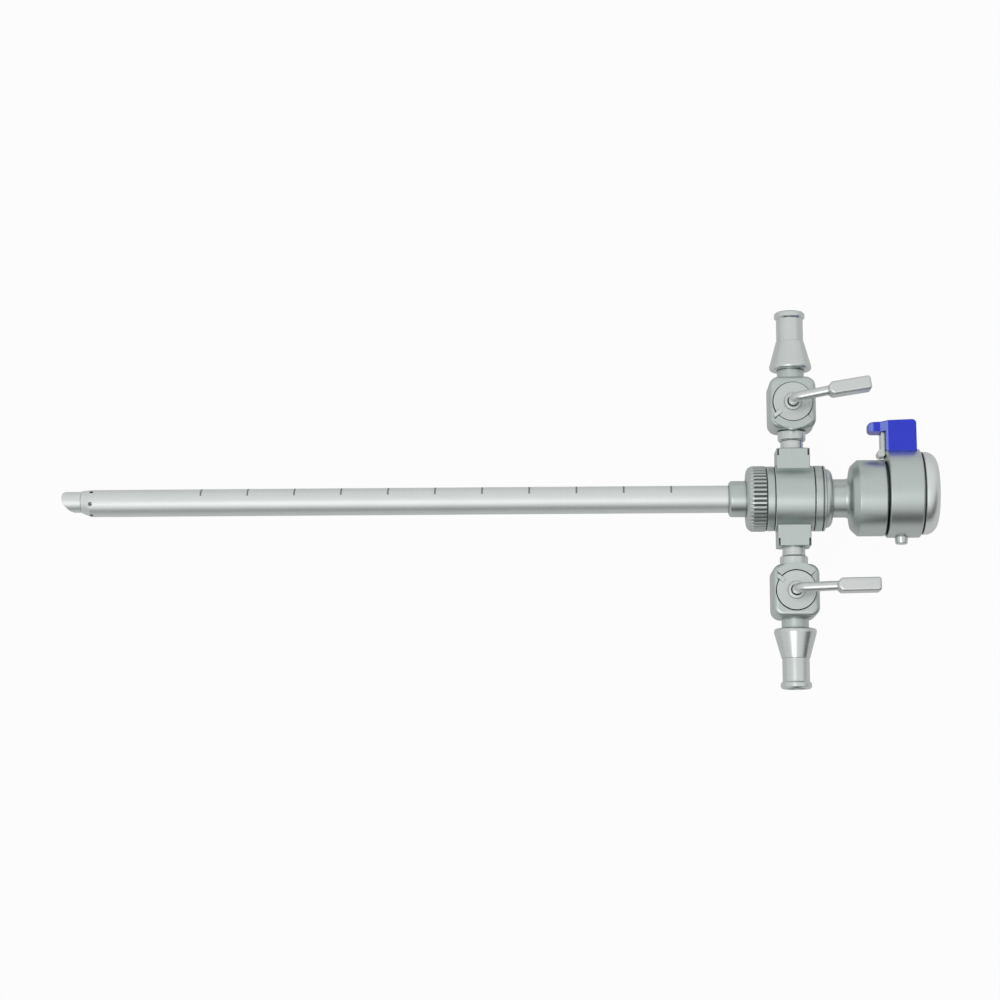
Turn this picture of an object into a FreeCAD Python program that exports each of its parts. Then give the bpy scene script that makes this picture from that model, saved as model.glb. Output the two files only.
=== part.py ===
import FreeCAD, Part
import os
import re

import Sketcher
from FreeCAD import Placement, Rotation, Vector

# Rotating double-tube arthroscope sheath for a 4 mm telescope. The origin is on the hub's axis
# at the front face of the ferrule, where the working length begins. +X runs back to the
# telescope lock, +Y along the inflow tap, +Z up.
os.makedirs("parts", exist_ok=True)
doc = FreeCAD.newDocument("arthroscope_sheath")
sheet = doc.addObject("Spreadsheet::Sheet", "sizes")

# Driving dimensions in millimetres and degrees
driving = [
    # shaft
    ("working_length", 142.1), ("inner_radius", 2.25), ("scope_bore", 2.08), ("channel_lift", 0.3),
    ("bevel_angle", 38.5), ("bevel_turn", 25), ("tip_reach", 4.2), ("nose_length", 1.9),
    ("nose_radius", 2.42), ("tube_radius", 2.9), ("tube_wall", 0.3),
    ("hole_radius", 0.43), ("hole_setback", 6.4), ("hole_count", 6), ("hole_turn", 10),
    # ferrule and coupling ring
    ("ferrule_radius", 3.84), ("ferrule_round", 0.7),
    ("ferrule_flange_radius", 5.1), ("ferrule_flange_length", 0.8),
    ("coupling_start", 3.7), ("coupling_length", 4.1), ("coupling_radius", 6.95),
    ("coupling_round", 1.5), ("coupling_lip", 0.8), ("flute_count", 46), ("flute_radius", 0.25),
    # hub and rotating collar
    ("hub_nose_radius", 5.15), ("flange_radius", 6.85), ("flange_length", 1.65),
    ("journal_radius", 5.0), ("thread_radius", 4.4),
    ("chamber_radius", 2.6), ("flow_groove_depth", 0.7), ("flow_groove_width", 1.3),
    ("flow_groove_pitch", 2.6), ("port_radius", 0.6), ("seal_groove_width", 0.8),
    ("seal_radius", 0.3), ("seal_stand", 0.02), ("collar_length", 8.2), ("collar_radius", 6.93),
    ("block_width", 7.0), ("block_depth", 6.9), ("block_reach", 10.4), ("block_bore", 1.2),
    ("slot_width", 0.35), ("slot_length", 1.6), ("slot_depth", 0.7), ("slot_inset", 0.15),
    ("block_round", 0.25),
    # rear flange, end cap
    ("nut_length", 2.25), ("nut_radius", 6.95), ("nut_groove", 0.35), ("nut_groove_setback", 0.75),
    ("cap_length", 1.5), ("cap_radius", 6.25), ("cap_round", 1.3),
    # telescope lock
    ("neck_radius", 4.06), ("neck_length", 3.9), ("neck_sweep", 1.2), ("cone_radius", 6.7),
    ("cone_round", 0.9),
    ("cone_length", 1.5), ("drum_step", 1.29), ("drum_length", 5.7), ("drum_round", 0.35),
    ("lock_lift", 0.95), ("sleeve_radius", 6.4), ("ring_radius", 9.35), ("ring_length", 7.0),
    ("ring_gap", 0.4), ("rear_step", 0.6), ("rear_length", 3.2), ("rear_round", 2.6), ("rear_seat", 2.4),
    ("socket_radius", 4.5),
    ("socket_length", 12.2), ("lead_in", 0.4), ("washer_thickness", 0.3),
    ("lever_setback", 0.1), ("lever_length", 6.4), ("lever_half_width", 4.0),
    ("lever_top", 16.3), ("tongue_length", 3.55), ("tongue_thickness", 2.4),
    ("tongue_half_width", 2.4), ("shoulder_reach", 1.0), ("shoulder_length", 1.4),
    ("lever_round", 0.9), ("bracket_thickness", 0.8), ("bracket_half_width", 2.0),
    ("boss_radius", 0.85), ("stud_radius", 1.4), ("stud_reach", 1.45), ("stud_round", 0.35),
    ("scope_seal_radius", 0.5), ("seal_shelf", 0.8), ("stud_setback", 3.0),
    # taps
    ("tap_offset", 13.6), ("neck_bore", 1.5), ("stub_radius", 2.4), ("stub_sunk", 1.8),
    ("union_start", 12.2), ("union_radius", 2.95), ("housing_start", 14.4),
    ("housing_length", 11.1), ("housing_width", 9.8), ("housing_height", 10.0),
    ("housing_corner_cut", 0.85), ("housing_round", 1.1), ("housing_edge_round", 2.0),
    ("spigot_radius", 2.85), ("nozzle_start", 27.6), ("stop_radius", 4.45), ("stop_rim", 0.9),
    ("stop_round", 0.5),
    ("stop_length", 5.3), ("hose_radius", 2.85), ("bead_start", 38.7), ("bead_radius", 3.25),
    ("bead_length", 1.5), ("bead_chamfer", 0.35), ("nozzle_bore", 2.2),
    ("key_radius", 3.0), ("key_taper", 0.25), ("key_bore", 1.5), ("disc_radius", 4.1),
    ("disc_thickness", 0.9), ("disc_dish", 0.25), ("disc_recess", 0.5), ("disc_gap", 0.18),
    ("rod_well_gap", 0.2), ("boss_ring_radius", 1.75),
    ("boss_ring_height", 0.45), ("segment_radius", 5.8), ("segment_height", 0.7),
    ("segment_angle", 90), ("pin_width", 0.8), ("pin_start", 3.2), ("pin_length", 1.85), ("rod_radius", 1.0),
    ("rod_bend", 1.9), ("rod_climb", 12), ("inflow_grip_start", 6.9), ("outflow_grip_start", 7.8),
    ("grip_length", 8.9), ("grip_width", 2.9), ("grip_height", 4.6), ("grip_centre", 11.3),
    ("grip_chamfer", 0.8), ("grip_round", 0.6), ("key_stem_radius", 1.3), ("spring_radius", 3.1),
    ("spring_thickness", 0.4), ("tap_nut_width", 5.2), ("tap_nut_height", 1.4),
    ("inflow_lever_angle", 9), ("outflow_lever_angle", 1),
    ("edge_break", 0.15), ("union_chamfer", 0.35), ("hose_step", 0.13), ("pin_angle", 142),
    ("ring_round", 0.3), ("cam_radius", 6.0), ("cam_lift", 1.1), ("latch_radius", 1.2),
    ("latch_top", 6.85), ("latch_rest_gap", 0.1), ("stud_sunk", 1.5), ("stud_taper", 0.15),
    ("tongue_fall", 0.35), ("nose_overrun", 0.1), ("lever_edge_round", 0.4),
    ("scope_seal_bore", 2.12), ("washer_width", 1.75),
    # clearances
    ("join_gap", 0.02), ("running_gap", 0.05), ("end_gap", 0.1),
]
for row, (alias, number) in enumerate(driving, start=1):
    sheet.set(f"A{row}", alias.replace("_", " "))
    sheet.set(f"B{row}", str(number))
    sheet.setAlias(f"B{row}", alias)
doc.recompute()
aliases = {alias for alias, number in driving}

# Places along the hub's axis and sizes that follow others, worked out from the driving dimensions
stations = {
    "drum_radius": "ring_radius - drum_step",
    "rear_radius": "ring_radius - rear_step",
    "housing_corner": "sqrt(housing_width ^ 2 + housing_length ^ 2) / 2 - housing_corner_cut",
    "tip_x": "-working_length",
    "nose_x": "tip_x + tip_reach",
    "coupling_end": "coupling_start + coupling_length",
    "ferrule_step_x": "coupling_start + coupling_lip + end_gap",
    "ferrule_end": "ferrule_step_x + ferrule_flange_length",
    "hub_x": "ferrule_end + join_gap",
    "flange_x": "coupling_end + end_gap",
    "collar_x": "flange_x + flange_length + end_gap",
    "collar_end": "collar_x + collar_length",
    "nut_x": "collar_end + end_gap",
    "nut_end": "nut_x + nut_length",
    "neck_x": "nut_end + cap_length",
    "cone_x": "neck_x + neck_length",
    "drum_x": "cone_x + cone_length",
    "drum_end": "drum_x + drum_length",
    "ring_x": "drum_end + ring_gap",
    "ring_end": "ring_x + ring_length",
    "rear_x": "ring_end + end_gap + washer_thickness",
    "rear_end": "rear_x + rear_length",
    "socket_x": "rear_end - socket_length",
    "tube_end": "socket_x - seal_shelf - scope_seal_radius * 2 - join_gap * 3",
    "latch_x": "ring_x + ring_length / 2",
    "stud_x": "ring_x + stud_setback",
    "lever_x": "ring_x - lever_setback",
    "boss_x": "ring_x - join_gap - boss_radius",
    "boss_y": "lock_lift + ring_radius - boss_radius - running_gap",
    "housing_centre": "housing_start + housing_length / 2",
    "outflow_groove_x": "tap_offset - flow_groove_pitch / 2",
    "inflow_groove_x": "tap_offset + flow_groove_pitch / 2",
}


def expr(text):
    """Write a formula in plain size names as a spreadsheet expression."""
    def name(match):
        word = match.group(0)
        if word in stations:
            return "(" + expr(stations[word]) + ")"
        return "sizes." + word if word in aliases else word
    return re.sub(r"[a-z][a-z_]+", name, str(text))


def value(text):
    return float(sheet.evalExpression(expr(text)))


# Builders
made = {}


def plane(body, role):
    return [feature for feature in body.Origin.OriginFeatures if feature.Role == role][0]


def place(thing, x="0", y="0", z="0", turn=None):
    """Put a body or primitive at formulas x, y, z, turned by a Rotation."""
    thing.Placement = Placement(Vector(value(x), value(y), value(z)), turn or Rotation())
    for axis, text in (("x", x), ("y", y), ("z", z)):
        thing.setExpression("Placement.Base." + axis, expr(text))
    return thing


def bound_sketch(body, name, role, corners):
    """Closed outline through corners, each a pair of formulas, every one held by the sheet."""
    sketch = body.newObject("Sketcher::SketchObject", name)
    sketch.AttachmentSupport = (plane(body, role), [""])
    sketch.MapMode = "FlatFace"
    points = [(value(a), value(b)) for a, b in corners]
    count = len(points)
    for i, start in enumerate(points):
        end = points[(i + 1) % count]
        sketch.addGeometry(Part.LineSegment(Vector(*start, 0), Vector(*end, 0)), False)
    for i in range(count):
        sketch.addConstraint(Sketcher.Constraint("Coincident", i, 2, (i + 1) % count, 1))
    for i, pair in enumerate(corners):
        for kind, text, number, axis in (("DistanceX", pair[0], points[i][0], -2),
                                         ("DistanceY", pair[1], points[i][1], -1)):
            if abs(number) < 1e-9:
                sketch.addConstraint(Sketcher.Constraint("PointOnObject", i, 1, axis))
                continue
            index = sketch.addConstraint(Sketcher.Constraint(kind, -1, 1, i, 1, number))
            sketch.setExpression(f"Constraints[{index}]", expr(text))
    return sketch


def turned(label, corners, x="0", y="0", z="0", turn=None):
    """Body revolved about its own X axis from (length, radius) corners."""
    body = doc.addObject("PartDesign::Body", label)
    sketch = bound_sketch(body, label + "_outline", "XY_Plane", corners)
    doc.recompute()
    revolution = body.newObject("PartDesign::Revolution", label + "_turned")
    revolution.Profile = sketch
    revolution.ReferenceAxis = (sketch, ["H_Axis"])
    revolution.Angle = 360
    place(body, x, y, z, turn)
    doc.recompute()
    return body


def rims(body, length, radius):
    """Names of the circular edges of a turned body at a local length and radius."""
    names = []
    for number, edge in enumerate(body.Tip.Shape.Edges, start=1):
        curve = edge.Curve
        if not isinstance(curve, Part.Circle):
            continue
        if abs(curve.Center.x - value(length)) < 1e-5 and abs(curve.Radius - value(radius)) < 1e-5:
            names.append(f"Edge{number}")
    return names


def dress(body, kind, names, size):
    """Fillet or chamfer the named edges of a body's last feature."""
    feature = body.newObject("PartDesign::" + kind, f"{body.Name}_{kind.lower()}")
    feature.Base = (body.Tip if body.Tip != feature else feature.BaseFeature, names)
    feature.setExpression("Radius" if kind == "Fillet" else "Size", expr(size))
    doc.recompute()
    return feature


def cylinder(name, radius, height, x="0", y="0", z="0", turn=None):
    rod = doc.addObject("Part::Cylinder", name)
    rod.setExpression("Radius", expr(radius))
    rod.setExpression("Height", expr(height))
    return place(rod, x, y, z, turn)


def cone(name, radius_low, radius_high, height, x="0", y="0", z="0", turn=None):
    solid = doc.addObject("Part::Cone", name)
    solid.setExpression("Radius1", expr(radius_low))
    solid.setExpression("Radius2", expr(radius_high))
    solid.setExpression("Height", expr(height))
    return place(solid, x, y, z, turn)


def box(name, length, width, height, x="0", y="0", z="0", turn=None):
    solid = doc.addObject("Part::Box", name)
    solid.setExpression("Length", expr(length))
    solid.setExpression("Width", expr(width))
    solid.setExpression("Height", expr(height))
    return place(solid, x, y, z, turn)


def torus(name, radius_major, radius_minor, x="0", y="0", z="0", turn=None):
    ring = doc.addObject("Part::Torus", name)
    ring.setExpression("Radius1", expr(radius_major))
    ring.setExpression("Radius2", expr(radius_minor))
    return place(ring, x, y, z, turn)


def fused(name, *shapes):
    union = doc.addObject("Part::MultiFuse", name)
    union.Shapes = list(shapes)
    return union


def cut(name, base, *tools):
    result = doc.addObject("Part::Cut", name)
    result.Base = base
    result.Tool = tools[0] if len(tools) == 1 else fused(name + "_tools", *tools)
    return result


def common(name, first, second):
    result = doc.addObject("Part::Common", name)
    result.Base = first
    result.Tool = second
    return result


def rounded(name, base, radius, wanted):
    """Fillet the edges of base that the test wanted accepts."""
    doc.recompute()
    result = doc.addObject("Part::Fillet", name)
    result.Base = base
    size = value(radius)
    result.Edges = [(number, size, size) for number, edge in enumerate(base.Shape.Edges, start=1)
                    if wanted(edge)]
    return result


def keep(label, thing):
    """Register a finished piece under the name of its file."""
    thing.Label = label
    made[label] = thing
    return thing


# Directions that a body's own X axis, or a cylinder's Z axis, is turned to
xToZ = Rotation(Vector(0, 1, 0), -90)
zToX = Rotation(Vector(0, 1, 0), 90)
zToY = Rotation(Vector(1, 0, 0), -90)


# Shaft
def inner_tube():
    length = "tube_end - tip_x"
    wall = cylinder("inner_wall", "inner_radius", length, "tip_x", "channel_lift", "0", zToX)
    bore = cylinder("inner_bore", "scope_bore", length, "tip_x", "channel_lift", "0", zToX)
    slope = Rotation(Vector(1, 0, 0), -value("bevel_turn")) * Rotation(Vector(0, 1, 0), -value("bevel_angle"))
    side = "inner_radius * 8"
    corner = slope.multVec(Vector(-1, -0.5, -0.5))
    knife = box("bevel_knife", side, side, side,
                f"tip_x + inner_radius * tan(bevel_angle) + ({corner.x:.6f}) * {side}",
                f"channel_lift + ({corner.y:.6f}) * {side}", f"({corner.z:.6f}) * {side}", slope)
    port = cylinder("inner_port", "port_radius", "inner_radius * 4", "inflow_groove_x",
                    "-inner_radius * 2", "0", zToY)
    keep("inner_tube", cut("inner_tube_cut", wall, bore, knife, port))


def ring_line(name, radius, x, y):
    circle = doc.addObject("Part::Circle", name)
    circle.setExpression("Radius", expr(radius))
    return place(circle, x, y, "0", zToX)


def outer_tube():
    shoulder = "nose_x + nose_length"
    nose = doc.addObject("Part::Loft", "nose")
    nose.Sections = [ring_line("nose_tip", "nose_radius", "nose_x", "channel_lift"),
                     ring_line("nose_base", "tube_radius", shoulder, "0")]
    nose.Solid = True
    nose.Ruled = True
    wall = cylinder("outer_wall", "tube_radius", f"-({shoulder})", shoulder, "0", "0", zToX)
    hollow = cylinder("outer_hollow", "tube_radius - tube_wall", "working_length", shoulder, "0", "0", zToX)
    throat = cylinder("nose_throat", "inner_radius + join_gap", "nose_length * 3",
                      "nose_x - nose_length", "channel_lift", "0", zToX)
    holes = []
    for i in range(int(value("hole_count"))):
        around = Rotation(Vector(1, 0, 0), value("hole_turn") + 360 * i / value("hole_count"))
        holes.append(cylinder(f"flow_hole_{i + 1}", "hole_radius", "tube_radius * 2",
                              "tip_x + hole_setback", "0", "0", around))
    keep("outer_tube", cut("outer_tube_cut", fused("outer_solid", wall, nose), hollow, throat, *holes))


def tube_ferrule():
    bore = "tube_radius - tube_wall"
    front = "running_gap"
    body = turned("tube_ferrule", [
        (front, bore), ("ferrule_end", bore), ("ferrule_end", "ferrule_flange_radius"),
        ("ferrule_step_x", "ferrule_flange_radius"), ("ferrule_step_x", "ferrule_radius"),
        (front, "ferrule_radius")])
    dress(body, "Fillet", rims(body, front, "ferrule_radius"), "ferrule_round")
    keep("tube_ferrule", body)


def coupling_ring():
    lip_bore = "ferrule_radius + running_gap"
    bore = "hub_nose_radius + running_gap"
    body = turned("coupling_ring", [
        ("0", lip_bore), ("coupling_lip", lip_bore), ("coupling_lip", bore),
        ("coupling_length", bore), ("coupling_length", "coupling_radius"),
        ("0", "coupling_radius")], "coupling_start")
    dress(body, "Fillet", rims(body, "0", "coupling_radius"), "coupling_round")
    dress(body, "Chamfer", rims(body, "coupling_length", "coupling_radius"), "edge_break")
    sketch = body.newObject("Sketcher::SketchObject", "flute_outline")
    sketch.AttachmentSupport = (plane(body, "YZ_Plane"), [""])
    sketch.MapMode = "FlatFace"
    sketch.addGeometry(Part.Circle(Vector(value("coupling_radius"), 0, 0), Vector(0, 0, 1),
                                   value("flute_radius")), False)
    sketch.addConstraint(Sketcher.Constraint("PointOnObject", 0, 3, -1))
    for kind, ends, size in (("Radius", (0,), "flute_radius"), ("DistanceX", (-1, 1, 0, 3), "coupling_radius")):
        index = sketch.addConstraint(Sketcher.Constraint(kind, *ends, value(size)))
        sketch.setExpression(f"Constraints[{index}]", expr(size))
    flute = body.newObject("PartDesign::Pocket", "flute")
    flute.Profile = sketch
    flute.Type = "ThroughAll"
    flute.Reversed = True
    doc.recompute()
    flutes = body.newObject("PartDesign::PolarPattern", "flutes")
    flutes.Originals = [flute]
    flutes.Axis = (plane(body, "X_Axis"), [""])
    flutes.Angle = 360
    flutes.setExpression("Occurrences", expr("flute_count"))
    body.Tip = flutes
    keep("coupling_ring", body)


# Hub and rotating collar
def hub_core():
    def at(place_text):
        return f"{place_text} - hub_x"
    outline = [("0", "0"), ("0", "hub_nose_radius"), (at("flange_x"), "hub_nose_radius"),
               (at("flange_x"), "flange_radius"), (at("flange_x + flange_length"), "flange_radius"),
               (at("flange_x + flange_length"), "journal_radius")]
    grooves = [("-flow_groove_pitch", "seal"), ("-flow_groove_pitch / 2", "flow"), ("0", "seal"),
               ("flow_groove_pitch / 2", "flow"), ("flow_groove_pitch", "seal")]
    floors = {"seal": ("seal_groove_width", "journal_radius - seal_radius * 2"),
              "flow": ("flow_groove_width", "journal_radius - flow_groove_depth")}
    for offset, kind in grooves:
        width, floor = floors[kind]
        for side, radii in (("-", ("journal_radius", floor)), ("+", (floor, "journal_radius"))):
            edge = at(f"tap_offset + {offset} {side} {width} / 2")
            outline += [(edge, radius) for radius in radii]
    outline += [(at("nut_x"), "journal_radius"), (at("nut_x"), "thread_radius"),
                (at("nut_end"), "thread_radius"), (at("nut_end"), "0")]
    solid = turned("hub_solid", outline, "hub_x")
    dress(solid, "Chamfer", rims(solid, at("flange_x"), "flange_radius"), "edge_break")
    dress(solid, "Chamfer", rims(solid, at("flange_x + flange_length"), "flange_radius"), "edge_break")
    chamber = cylinder("flow_chamber", "chamber_radius", "outflow_groove_x + port_radius - hub_x",
                       "hub_x", "0", "0", zToX)
    seat = cylinder("hub_tube_seat", "inner_radius + join_gap", "nut_end - hub_x", "hub_x",
                    "channel_lift", "0", zToX)
    ports = [cylinder(f"{name}_port", "port_radius", "journal_radius * 2", f"{name}_groove_x",
                      "-journal_radius", "0", zToY) for name in ("outflow", "inflow")]
    keep("hub_core", cut("hub_core_cut", solid, chamber, seat, *ports))


def seal_ring(label, ring_radius, section, x, y="0"):
    """Soft ring of eight-sided section, centred on x."""
    flat = f"({section}) * tan(22.5)"
    half = f"({section})"
    corners = [(flat, f"-{half}"), (half, f"-{flat}"), (half, flat), (flat, half),
               (f"-{flat}", half), (f"-{half}", flat), (f"-{half}", f"-{flat}"), (f"-{flat}", f"-{half}")]
    return turned(label, [(along, f"{ring_radius} + {out}") for along, out in corners], x, y)


def journal_seals():
    rings = [seal_ring(f"journal_seal_{i + 1}", "journal_radius + seal_stand - seal_radius", "seal_radius",
                       f"tap_offset + ({i - 1}) * flow_groove_pitch") for i in range(3)]
    keep("journal_seals", fused("journal_seal_set", *rings))


def rotating_collar():
    bore_size = "journal_radius + running_gap"
    ring = turned("collar_ring", [("0", bore_size), ("collar_length", bore_size),
                                  ("collar_length", "collar_radius"), ("0", "collar_radius")], "collar_x")
    for end in ("0", "collar_length"):
        dress(ring, "Chamfer", rims(ring, end, "collar_radius"), "edge_break")
    blocks = box("collar_blocks", "block_width", "block_reach * 2", "block_depth",
                 "tap_offset - block_width / 2", "-block_reach", "-block_depth / 2")
    blocks = rounded("collar_blocks_rounded", blocks, "block_round", lambda edge: True)
    tools = [cylinder("collar_bore", bore_size, "collar_length", "collar_x", "0", "0", zToX)]
    for side, name in ((1, "inflow"), (-1, "outflow")):
        outward = Rotation(Vector(1, 0, 0), -90 * side)
        tools.append(cylinder(f"{name}_block_bore", "block_bore", "block_reach - journal_radius",
                              f"{name}_groove_x", f"{side} * journal_radius", "0", outward))
        tools.append(cylinder(f"{name}_stub_seat", "stub_radius + join_gap", "stub_sunk * 2",
                              "tap_offset", f"{side} * (block_reach - stub_sunk)", "0", outward))
        slot_y = "block_reach - slot_length" if side > 0 else "-block_reach - slot_length"
        for i, slot_x in enumerate(("-block_width / 2 + slot_inset", "block_width / 2 - slot_inset - slot_width")):
            for j, slot_z in enumerate(("block_depth / 2 - slot_depth", "-block_depth / 2 - slot_depth")):
                tools.append(box(f"{name}_slot_{i}{j}", "slot_width", "slot_length * 2", "slot_depth * 2",
                                 f"tap_offset + {slot_x}", slot_y, slot_z))
    keep("rotating_collar", cut("collar_cut", fused("collar_solid", ring, blocks), *tools))


def collar_nut():
    bore = "thread_radius + join_gap"
    line = "nut_length - nut_groove_setback"
    body = turned("collar_nut", [
        ("0", bore), ("nut_length", bore), ("nut_length", "nut_radius"),
        (f"{line} + nut_groove", "nut_radius"), (f"{line} + nut_groove", "nut_radius - nut_groove"),
        (line, "nut_radius - nut_groove"), (line, "nut_radius"), ("0", "nut_radius")], "nut_x")
    dress(body, "Fillet", rims(body, "0", "nut_radius") + rims(body, "nut_length", "nut_radius"), "edge_break")
    keep("collar_nut", body)


def end_cap():
    bore = "neck_radius + join_gap"
    body = turned("end_cap", [("0", bore), ("cap_length", bore), ("cap_length", "cap_radius"),
                              ("0", "cap_radius")], "nut_end + join_gap")
    dress(body, "Fillet", rims(body, "cap_length", "cap_radius"), "cap_round")
    keep("end_cap", body)


# Telescope lock
def lock_body():
    def at(place_text):
        return f"{place_text} - nut_end - join_gap"
    drum = turned("lock_drum", [
        ("0", "0"), ("0", "neck_radius"), (at("cone_x"), "neck_radius"), (at("cone_x"), "cone_radius"),
        (at("drum_x"), "drum_radius"), (at("drum_end"), "drum_radius"), (at("drum_end"), "0")],
        "nut_end + join_gap")
    dress(drum, "Fillet", rims(drum, at("cone_x"), "neck_radius"), "neck_sweep")
    dress(drum, "Fillet", rims(drum, at("cone_x"), "cone_radius"), "cone_round")
    dress(drum, "Fillet", rims(drum, at("drum_x"), "drum_radius") + rims(drum, at("drum_end"), "drum_radius"),
          "drum_round")
    sleeve = cylinder("lock_sleeve", "sleeve_radius", "rear_x + rear_seat - join_gap - drum_end",
                      "drum_end", "lock_lift", "0", zToX)
    seat = cylinder("lock_tube_seat", "inner_radius + join_gap", "socket_x - nut_end", "nut_end",
                    "channel_lift", "0", zToX)
    groove = cylinder("scope_seal_groove", "scope_seal_bore + scope_seal_radius * 2 + join_gap",
                      "scope_seal_radius * 2 + join_gap * 2", "tube_end + join_gap", "channel_lift", "0", zToX)
    socket = cylinder("scope_socket", "socket_radius", "socket_length", "socket_x", "channel_lift", "0", zToX)
    latch_hole = cylinder("latch_hole", "latch_radius + running_gap", "sleeve_radius * 2", "latch_x",
                          "channel_lift", "0", zToY)
    keep("lock_body", cut("lock_body_cut", fused("lock_solid", drum, sleeve), seat, groove, socket, latch_hole))


def scope_seal():
    keep("scope_seal", seal_ring("scope_seal", "scope_seal_bore + scope_seal_radius", "scope_seal_radius",
                                 "tube_end + scope_seal_radius + join_gap * 2", "channel_lift"))


def lock_latch():
    """Short radial pin: its foot stands clear of the socket until the ring's cam drives it in."""
    foot = "channel_lift + socket_radius + latch_rest_gap"
    pin = cylinder("latch_pin", "latch_radius", f"lock_lift + latch_top - ({foot})", "latch_x", foot, "0", zToY)
    latch = rounded("lock_latch_rounded", pin, "edge_break", lambda edge: isinstance(edge.Curve, Part.Circle))
    keep("lock_latch", latch)


def lock_ring():
    bore = "sleeve_radius + running_gap"
    body = turned("lock_ring_turned", [
        ("0", bore), ("ring_length", bore), ("ring_length", "ring_radius"), ("0", "ring_radius")],
        "ring_x", "lock_lift")
    dress(body, "Fillet", rims(body, "0", "ring_radius") + rims(body, "ring_length", "ring_radius"), "ring_round")
    width = "(latch_radius + end_gap) * 2"
    cam = cylinder("ring_cam", "cam_radius", width, f"latch_x - {width} / 2", "lock_lift + cam_lift", "0", zToX)
    stud_seat = cylinder("stud_seat", "stud_radius + join_gap", "ring_radius", "stud_x",
                         "lock_lift - ring_radius + stud_sunk", "0", Rotation(Vector(1, 0, 0), 90))
    keep("lock_ring", cut("lock_ring_cut", body, cam, stud_seat))


def lock_stud():
    body = turned("lock_stud", [
        ("0", "0"), ("0", "stud_radius"), ("stud_sunk", "stud_radius"),
        ("stud_sunk + stud_reach", "stud_radius - stud_taper"), ("stud_sunk + stud_reach", "0")],
        "stud_x", "lock_lift - ring_radius + stud_sunk", "0", Rotation(Vector(0, 0, 1), -90))
    dress(body, "Fillet", rims(body, "stud_sunk + stud_reach", "stud_radius - stud_taper"), "stud_round")
    keep("lock_stud", body)


def padded_outline(label, role, corners, depth, x="0", y="0", z="0", turn=None):
    """Body padded evenly to both sides of one of its own planes."""
    body = doc.addObject("PartDesign::Body", label)
    sketch = bound_sketch(body, label + "_outline", role, corners)
    doc.recompute()
    pad = body.newObject("PartDesign::Pad", label + "_pad")
    pad.Profile = sketch
    pad.Midplane = True
    pad.setExpression("Length", expr(depth))
    place(body, x, y, z, turn)
    doc.recompute()
    return body


def corner_edges(body, corners):
    """Names of the straight edges along Z that stand on the given sketch corners."""
    names = []
    for number, edge in enumerate(body.Tip.Shape.Edges, start=1):
        first, last = edge.Vertexes[0].Point, edge.Vertexes[-1].Point
        if abs(first.x - last.x) > 1e-6 or abs(first.y - last.y) > 1e-6:
            continue
        if any(abs(first.x - value(a)) < 1e-5 and abs(first.y - value(b)) < 1e-5 for a, b in corners):
            names.append(f"Edge{number}")
    return names


def lock_lever():
    under = "lock_lift + ring_radius / 2"
    back, front = "lever_x + lever_length", "lever_x"
    nose = "lever_x - tongue_length"
    back_top = (back, "lever_top")
    past_nose = f"{nose} - nose_overrun"
    nose_top = (past_nose, "lever_top - tongue_fall")
    nose_low = (past_nose, "lever_top - tongue_thickness")
    side = padded_outline("lever_side", "XY_Plane", [
        (back, under), back_top, nose_top, nose_low, (front, "lever_top - tongue_thickness"),
        (front, under)], "lever_half_width * 2")
    dress(side, "Fillet", corner_edges(side, [back_top]), "lever_round")
    dress(side, "Fillet", corner_edges(side, [nose_top, nose_low]), "(tongue_thickness - tongue_fall) * 0.45")
    shoulder = "lever_x - shoulder_reach"
    half_plan = [(nose, "tongue_half_width"), (shoulder, "tongue_half_width"),
                 (f"{shoulder} + shoulder_length", "lever_half_width"), (back, "lever_half_width")]
    mirrored = [(x, f"-{z}") for x, z in reversed(half_plan)]
    plan = padded_outline("lever_plan", "XZ_Plane", half_plan + mirrored, "lever_top * 3")
    tip = value(nose)
    ends = [f"Edge{number}" for number, edge in enumerate(plan.Tip.Shape.Edges, start=1)
            if edge.BoundBox.YLength > 1 and abs(edge.CenterOfMass.x - tip) < 1e-5]
    dress(plan, "Fillet", ends, "tongue_half_width * 0.7")
    tip_centre = value("lever_top - (tongue_fall + tongue_thickness) / 2")

    def on_top_rim(edge):
        extent = edge.BoundBox
        upright = extent.XLength < 1e-6 and extent.ZLength < 1e-6
        return edge.CenterOfMass.y > tip_centre and not upright and abs(edge.CenterOfMass.z) > 1e-3

    body = rounded("lever_soft", common("lever_solid", side, plan), "lever_edge_round", on_top_rim)
    saddle = cylinder("lever_saddle", "ring_radius + join_gap", "lever_length * 2",
                      "lever_x - lever_length / 2", "lock_lift", "0", zToX)
    relief = cylinder("lever_relief", "boss_radius + join_gap", "lever_half_width * 2", "boss_x", "boss_y",
                      "-lever_half_width")
    keep("lock_lever", cut("lock_lever_cut", body, saddle, relief))


def lever_bracket():
    plate = box("bracket_plate", "bracket_thickness", "lever_top - tongue_thickness - join_gap - boss_y",
                "bracket_half_width * 2", "lever_x - join_gap - bracket_thickness", "boss_y", "-bracket_half_width")
    boss = cylinder("bracket_boss", "boss_radius", "bracket_half_width * 2", "boss_x", "boss_y",
                    "-bracket_half_width")
    keep("lever_bracket", fused("bracket_solid", plate, boss))


def ring_washer():
    thickness = "washer_thickness"
    body = turned("ring_washer", [
        ("0", "sleeve_radius + join_gap"), (thickness, "sleeve_radius + join_gap"),
        (thickness, "sleeve_radius + washer_width"), ("0", "sleeve_radius + washer_width")],
        "rear_x - washer_thickness", "lock_lift")
    keep("ring_washer", body)


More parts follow.
